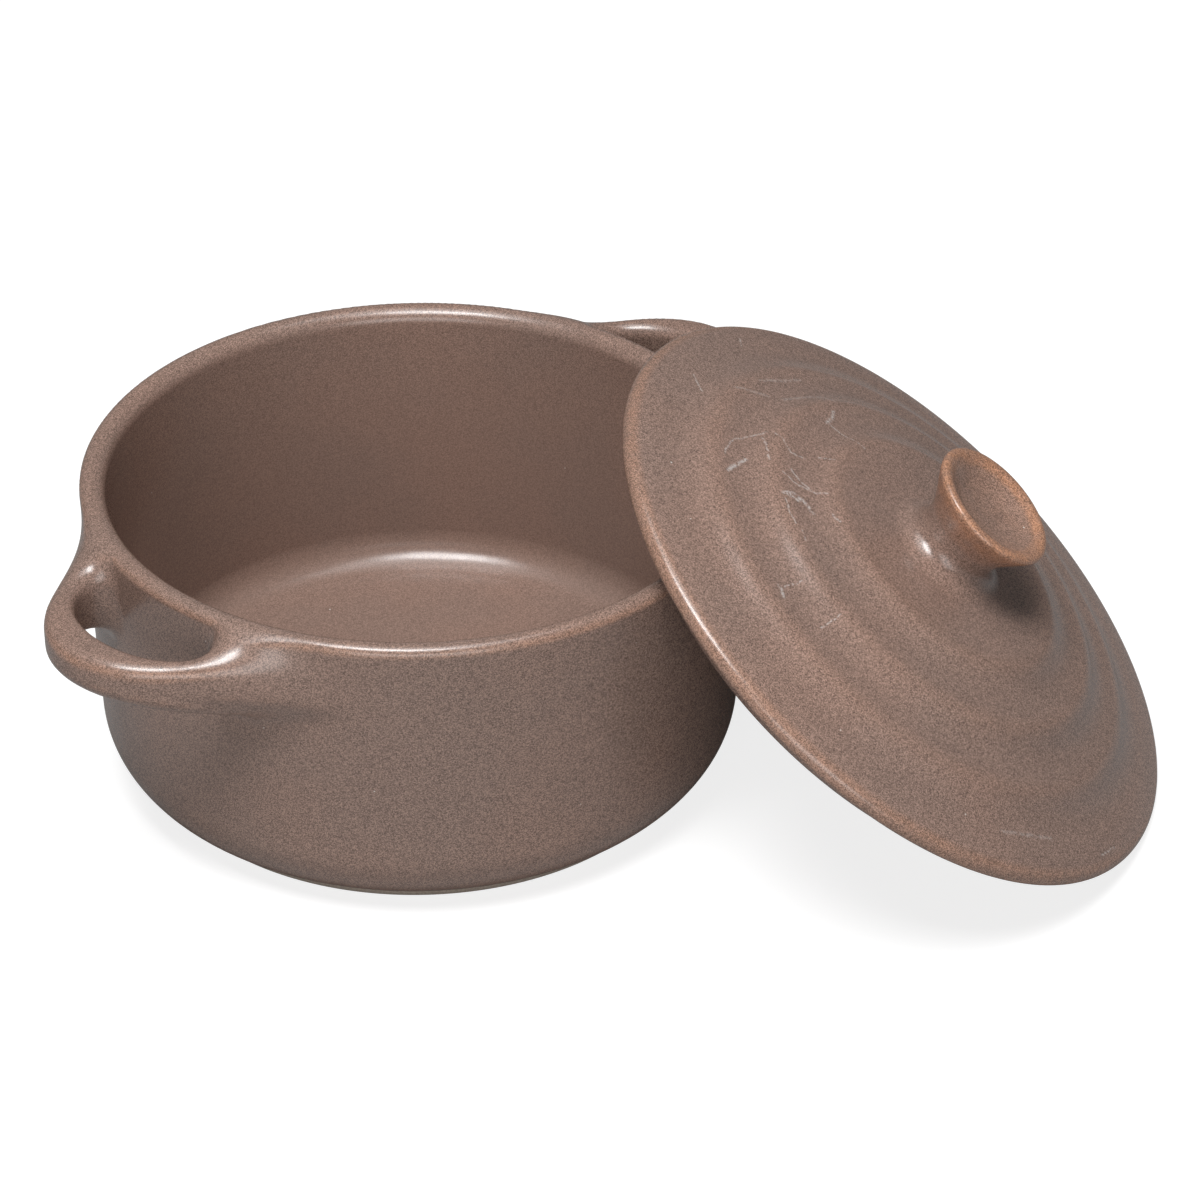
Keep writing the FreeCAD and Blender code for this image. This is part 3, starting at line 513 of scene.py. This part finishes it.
class Nodes:
    """Short ways to add and link shader nodes."""

    def __init__(self, name):
        self.material = bpy.data.materials.new(name)
        self.material.use_nodes = True
        self.tree = self.material.node_tree
        self.tree.nodes.clear()

    def add(self, kind, settings=None, **inputs):
        node = self.tree.nodes.new("ShaderNode" + kind)
        for key, value in (settings or {}).items():
            setattr(node, key, value)
        for key, value in inputs.items():
            place = int(key[1:]) if key[1:].isdigit() else key.replace("_", " ")
            self.feed(node.inputs[place], value)
        return node

    def feed(self, socket, value):
        if isinstance(value, bpy.types.NodeSocket):
            self.tree.links.new(value, socket)
        else:
            socket.default_value = value

    def math(self, operation, a, b=0.0, clamp=False):
        return self.add("Math", {"operation": operation, "use_clamp": clamp}, _0=a, _1=b).outputs[0]

    def span(self, value, low, high, to_low=0.0, to_high=1.0):
        """The value's range low to high, drawn smoothly onto to_low to to_high."""
        node = self.add("MapRange", {"interpolation_type": "SMOOTHSTEP"}, Value=value)
        for key, number in (("From Min", low), ("From Max", high),
                            ("To Min", to_low), ("To Max", to_high)):
            node.inputs[key].default_value = number
        return node.outputs[0]

    def noise(self, vector, scale, detail=2.0, roughness=0.5):
        return self.add("TexNoise", None, Vector=vector, Scale=scale, Detail=detail,
                        Roughness=roughness).outputs["Fac"]

    def mix(self, factor, a, b):
        return self.add("Mix", {"data_type": "RGBA"}, _0=factor, _6=a, _7=b).outputs[2]


def colour(r, g, b):
    return (r, g, b, 1.0)


CLAY_BROWN = colour(0.285, 0.186, 0.148)
GREY_BROWN = colour(0.262, 0.178, 0.145)
WARM_BREAK = colour(0.47, 0.235, 0.135)
# Painted shade colour, laid round the knob's neck under its flare
PAINTED_SHADE_BROWN = colour(0.11, 0.062, 0.046)
DARK_SPECK = colour(0.075, 0.045, 0.035)
WHITE_SPECK = colour(0.72, 0.68, 0.64)
CHALK = colour(0.60, 0.55, 0.52)
DRY_CLAY = (colour(0.36, 0.29, 0.24), colour(0.46, 0.39, 0.33))

GRAIN_CELLS = 7.5                   # to a millimetre
DISH_GRAIN = 1.15
LID_GRAIN = 1.15
SPECK_CELLS = 0.33
SPECK_SIZE = 0.055
SPECK_SHARE = 0.8
DISH_SPECKS = 0.06                  # share of the cells that have a pale speck
LID_SPECKS = 0.2
GLAZE_ROUGHNESS = (0.23, 0.27)
BUMP_HEIGHT = 0.0001                # in metres

# Pale scuffs on the lid's top, as lines through (x, y) in millimetres seen along its axis, with
# each kind's half width and strength
BOLD_SCUFFS = (
    ((-28.6, -12.4), (-27.0, -11.4), (-25.1, -11.6), (-23.1, -13.1)),
    ((-28.2, -12.3), (-26.1, -12.2)),
    ((-37.0, -12.2), (-35.8, -8.9), (-35.1, -7.4)),
    ((-24.2, 16.6), (-24.3, 14.3), (-25.0, 12.1)),
    ((-23.4, -30.0), (-22.2, -31.5)),
)
THIN_SCUFFS = (
    ((-38.3, -8.8), (-38.5, -7.1), (-37.8, -4.2), (-35.0, -0.5), (-33.5, 1.3)),
    ((-33.9, -0.6), (-33.0, -2.7), (-32.1, -5.9)),
    ((-32.7, 1.6), (-31.2, 0.4), (-29.4, -2.0), (-26.8, -1.3)),
    ((-29.7, -7.7), (-27.6, -8.6), (-23.5, -8.4)),
    ((-28.6, -6.1), (-26.7, -7.5), (-24.0, -8.5), (-22.1, -7.6)),
    ((-27.9, -13.5), (-26.6, -16.0), (-25.0, -17.7)),
    ((-20.5, -11.6), (-18.9, -12.5)),
    ((-22.7, -29.5), (-20.7, -27.1)),
    ((-15.0, -32.6), (-13.5, -29.5)),
    ((-25.0, 0.7), (-22.8, 1.5)),
    ((-24.5, 12.3), (-22.1, 10.8), (-18.5, 9.3)),
    ((-23.9, -18.2), (-22.8, -19.9)),
    ((-40.3, 29.3), (-39.8, 27.3)),
    ((-46.1, 9.9), (-44.1, 6.0)),
    ((44.3, -26.5), (46.5, -22.2)),
)
FAINT_SCUFFS = (
    ((-36.4, 16.1), (-32.5, 20.4), (-29.8, 24.0)),
    ((-32.1, 14.0), (-28.9, 17.9), (-26.1, 21.1), (-24.3, 20.7)),
    ((-40.0, 10.2), (-34.5, 12.9)),
    ((25.3, -40.4), (34.1, -33.3)),
)
SCUFFS = ((BOLD_SCUFFS, 0.55, 0.75), (THIN_SCUFFS, 0.24, 0.6), (FAINT_SCUFFS, 0.5, 0.3))
SCUFF_WOBBLE = 0.8


def scuff_mask(n, local, lines, width):
    """1 along the lines, 0 from their half width on."""
    wobble = n.add("TexNoise", None, Vector=local, Scale=0.7, Detail=2.0).outputs["Color"]
    moved = n.add("VectorMath", {"operation": "MULTIPLY_ADD"}, _0=wobble,
                  _1=(SCUFF_WOBBLE, SCUFF_WOBBLE, 0), _2=local).outputs[0]
    flat = n.add("VectorMath", {"operation": "MULTIPLY"}, _0=moved, _1=(1, 1, 0)).outputs[0]
    nearest = None
    for line in lines:
        for (start_x, start_y), (end_x, end_y) in zip(line, line[1:]):
            start = (start_x + SCUFF_WOBBLE / 2, start_y + SCUFF_WOBBLE / 2, 0)
            along = Vector((end_x - start_x, end_y - start_y, 0))
            offset = n.add("VectorMath", {"operation": "SUBTRACT"}, _0=flat, _1=start).outputs[0]
            part = n.add("VectorMath", {"operation": "DOT_PRODUCT"}, _0=offset,
                         _1=along / along.length_squared).outputs["Value"]
            part = n.math("ADD", part, 0.0, clamp=True)
            reached = n.add("VectorMath", {"operation": "SCALE"}, _0=along, Scale=part).outputs[0]
            away = n.add("VectorMath", {"operation": "DISTANCE"}, _0=offset,
                         _1=reached).outputs["Value"]
            nearest = away if nearest is None else n.math("MINIMUM", nearest, away)
    return n.span(nearest, 0.0, width, 1.0, 0.0)


def glaze(name, grain, specks, scuffed=False):
    """Semi-matt speckled brown glaze. The attribute tint says where it breaks to orange brown;
    where it is negative, deep brown is painted in as shade.
    """
    n = Nodes(name)
    local = n.add("Attribute", {"attribute_name": "local"}).outputs["Vector"]
    tint = n.add("Attribute", {"attribute_name": "tint"}).outputs["Fac"]
    calm = n.add("Attribute", {"attribute_name": "calm"}).outputs["Fac"]
    tone = n.mix(n.span(n.noise(local, 0.04, 2.0), 0.3, 0.7), CLAY_BROWN, GREY_BROWN)
    patchy = n.span(n.noise(local, 0.5, 3.0, 0.6), 0.3, 0.65, 0.6, 1.0)
    tone = n.mix(n.math("MULTIPLY", tint, patchy, clamp=True), tone, WARM_BREAK)
    # Negative tint: painted shade in deep brown, round the knob's neck under its flare
    tone = n.mix(n.math("MULTIPLY", tint, -1.0, clamp=True), tone, PAINTED_SHADE_BROWN)

    cells = n.add("TexVoronoi", None, Vector=local, Scale=GRAIN_CELLS)
    shade = n.add("SeparateXYZ", None, _0=cells.outputs["Color"])
    strength = n.math("MULTIPLY", n.math("SUBTRACT", 1.0, calm), grain)
    swing = n.math("MULTIPLY", n.math("SUBTRACT", shade.outputs[0], 0.5), strength)
    tone = n.add("VectorMath", {"operation": "SCALE"}, _0=tone,
                 Scale=n.math("ADD", swing, 1.0)).outputs[0]
    dark = n.span(n.noise(local, 6.0, 1.0, 0.5), 0.60, 0.72, 0.0, 0.35)
    tone = n.mix(n.math("MULTIPLY", dark, strength), tone, DARK_SPECK)

    dots = n.add("TexVoronoi", None, Vector=local, Scale=SPECK_CELLS)
    chance = n.add("SeparateXYZ", None, _0=dots.outputs["Color"])
    size = n.math("MULTIPLY", n.math("GREATER_THAN", specks, chance.outputs[0]),
                  n.math("MULTIPLY", chance.outputs[1], SPECK_SIZE))
    dot = n.math("LESS_THAN", dots.outputs["Distance"], size)
    tone = n.mix(n.math("MULTIPLY", dot, SPECK_SHARE), tone, WHITE_SPECK)

    if scuffed:
        worn = n.add("Attribute", {"attribute_name": "worn"}).outputs["Fac"]
        worn = n.math("MULTIPLY", worn, n.span(n.noise(local, 2.4, 3.0, 0.6), 0.4, 0.56))
        for lines, width, share in SCUFFS:
            marks = n.math("MULTIPLY", scuff_mask(n, local, lines, width), share)
            tone = n.mix(n.math("MULTIPLY", marks, worn), tone, CHALK)

    rough = n.span(n.noise(local, 0.25, 3.0), 0.3, 0.7, *GLAZE_ROUGHNESS)
    skin = n.math("ADD", n.math("MULTIPLY", n.noise(local, 0.3, 2.0), 0.7),
                  n.math("MULTIPLY", n.noise(local, 3.4, 1.0), 0.06))
    bump = n.add("Bump", None, Height=skin, Strength=0.5, Distance=BUMP_HEIGHT)
    shader = n.add("BsdfPrincipled", None, Base_Color=tone, Roughness=rough, Normal=bump.outputs[0],
                   Specular_IOR_Level=0.65)
    n.add("OutputMaterial", None, Surface=shader.outputs[0])
    return n.material


def bare_clay(name):
    """Unglazed foot: pale, dry and a little sandy."""
    n = Nodes(name)
    local = n.add("Attribute", {"attribute_name": "local"}).outputs["Vector"]
    sand = n.noise(local, 3.0, 2.0)
    tone = n.mix(n.span(sand, 0.35, 0.65), *DRY_CLAY)
    bump = n.add("Bump", None, Height=sand, Strength=0.3, Distance=BUMP_HEIGHT)
    shader = n.add("BsdfPrincipled", None, Base_Color=tone, Roughness=0.85, Normal=bump.outputs[0])
    n.add("OutputMaterial", None, Surface=shader.outputs[0])
    return n.material


# Stage

CAMERA_DISTANCE = 713.27
CAMERA_ELEVATION = 0.6094           # of its place, from the dish's foot, in radians
CAMERA_YAW = 0.0494
CAMERA_PITCH = 0.5793
CAMERA_ROLL = 0.0049
PHOTO_TURN = -41.4                  # the photograph's level axes, from the row frame's
FOCAL_PIXELS = 4376.0
PICTURE_PIXELS = 1200.0
SENSOR_WIDTH = 36.0

# Floor, in metres. It shows white from the far distance on, and keeps the shadow near the dish.
FLOOR_HALF = 3.0
FLOOR_COLOUR = 0.34
NEAR_GLOW = 0.8
FAR_GLOW = 1.0
NEAR_DISTANCE = 0.3
FAR_DISTANCE = 0.7

ROOM_FILL = 0.02                    # the world's light on everything
GLOSS_FILL = 0.14                   # what reflections see of it

# Name, azimuth, elevation, width, height, power
LAMPS = (("key", -20, 69, 0.5, 0.42, 10.5), ("top", -15, 84, 0.8, 0.8, 5),
         ("front", 0, 13, 1.0, 0.7, 5.6))
LAMP_DISTANCE = 1.2


def make_camera():
    turn = Matrix.Rotation(math.radians(PHOTO_TURN), 3, "Z")
    cos_pitch = math.cos(CAMERA_PITCH)
    place = turn @ Vector((0, -math.cos(CAMERA_ELEVATION), math.sin(CAMERA_ELEVATION)))
    place = place * CAMERA_DISTANCE
    forward = turn @ Vector((math.sin(CAMERA_YAW) * cos_pitch, math.cos(CAMERA_YAW) * cos_pitch,
                             -math.sin(CAMERA_PITCH)))
    level = forward.cross(Vector((0, 0, 1))).normalized()
    above = level.cross(forward)
    right = level * math.cos(CAMERA_ROLL) + above * math.sin(CAMERA_ROLL)
    up = above * math.cos(CAMERA_ROLL) - level * math.sin(CAMERA_ROLL)
    data = bpy.data.cameras.new("camera")
    data.sensor_width = SENSOR_WIDTH
    data.lens = FOCAL_PIXELS / PICTURE_PIXELS * SENSOR_WIDTH
    data.clip_start = 0.01
    camera = bpy.data.objects.new("camera", data)
    bpy.context.scene.collection.objects.link(camera)
    facing = Matrix((right, up, -forward)).transposed().to_4x4()
    camera.matrix_world = Matrix.Translation(place * MM) @ facing
    bpy.context.scene.camera = camera
    return turn


def make_floor():
    mesh = bpy.data.meshes.new("floor")
    half = FLOOR_HALF
    corners = [(-half, -half, 0), (half, -half, 0), (half, half, 0), (-half, half, 0)]
    mesh.from_pydata(corners, [], [(0, 1, 2, 3)])
    floor = bpy.data.objects.new("floor", mesh)
    bpy.context.scene.collection.objects.link(floor)
    n = Nodes("floor_white")
    ray = n.add("LightPath")
    position = n.add("NewGeometry").outputs["Position"]
    away = n.add("VectorMath", {"operation": "LENGTH"}, _0=position).outputs["Value"]
    white = n.span(away, NEAR_DISTANCE, FAR_DISTANCE, NEAR_GLOW, FAR_GLOW)
    seen = n.math("MULTIPLY", ray.outputs["Is Camera Ray"], white)
    base = n.add("BsdfDiffuse", None, Color=colour(*[FLOOR_COLOUR] * 3))
    glow = n.add("Emission", None, Color=colour(1, 1, 1), Strength=seen)
    both = n.add("AddShader", None, _0=base.outputs[0], _1=glow.outputs[0])
    n.add("OutputMaterial", None, Surface=both.outputs[0])
    mesh.materials.append(n.material)


def make_light(name, turn, azimuth, elevation, distance, width, height, power):
    """A soft box that faces the dish. Azimuth is from the camera's side, positive to the right."""
    data = bpy.data.lights.new(name, "AREA")
    data.shape = "RECTANGLE"
    data.size = width
    data.size_y = height
    data.energy = power
    lamp = bpy.data.objects.new(name, data)
    a, e = math.radians(azimuth), math.radians(elevation)
    towards = turn @ Vector((math.sin(a) * math.cos(e), -math.cos(a) * math.cos(e), math.sin(e)))
    lamp.matrix_world = (Matrix.Translation(towards * distance)
                         @ towards.to_track_quat("Z", "Y").to_matrix().to_4x4())
    bpy.context.scene.collection.objects.link(lamp)


def make_world():
    world = bpy.data.worlds.new("studio")
    bpy.context.scene.world = world
    world.use_nodes = True
    tree = world.node_tree
    back = tree.nodes["Background"]
    back.inputs["Color"].default_value = colour(1, 1, 1)
    ray = tree.nodes.new("ShaderNodeLightPath")
    seen = tree.nodes.new("ShaderNodeMath")
    seen.operation = "MAXIMUM"
    gloss = tree.nodes.new("ShaderNodeMath")
    gloss.operation = "MULTIPLY"
    gloss.inputs[1].default_value = GLOSS_FILL
    tree.links.new(ray.outputs["Is Glossy Ray"], gloss.inputs[0])
    tree.links.new(ray.outputs["Is Camera Ray"], seen.inputs[0])
    tree.links.new(gloss.outputs[0], seen.inputs[1])
    strength = tree.nodes.new("ShaderNodeMapRange")
    strength.inputs["To Min"].default_value = ROOM_FILL
    tree.links.new(seen.outputs[0], strength.inputs["Value"])
    tree.links.new(strength.outputs[0], back.inputs["Strength"])


dish = make_dish()
foot = make_foot_ring()
shell, knob = make_lid()
dish.data.materials.append(glaze("dish_glaze", DISH_GRAIN, DISH_SPECKS))
lid_brown = glaze("lid_glaze", LID_GRAIN, LID_SPECKS, True)
shell.data.materials.append(lid_brown)
knob.data.materials.append(lid_brown)
foot.data.materials.append(bare_clay("bare_clay"))

photo_turn = make_camera()
make_floor()
make_world()
for name, azimuth, elevation, width, height, power in LAMPS:
    make_light(name, photo_turn, azimuth, elevation, LAMP_DISTANCE, width, height, power)
bpy.context.scene.view_settings.view_transform = "Standard"
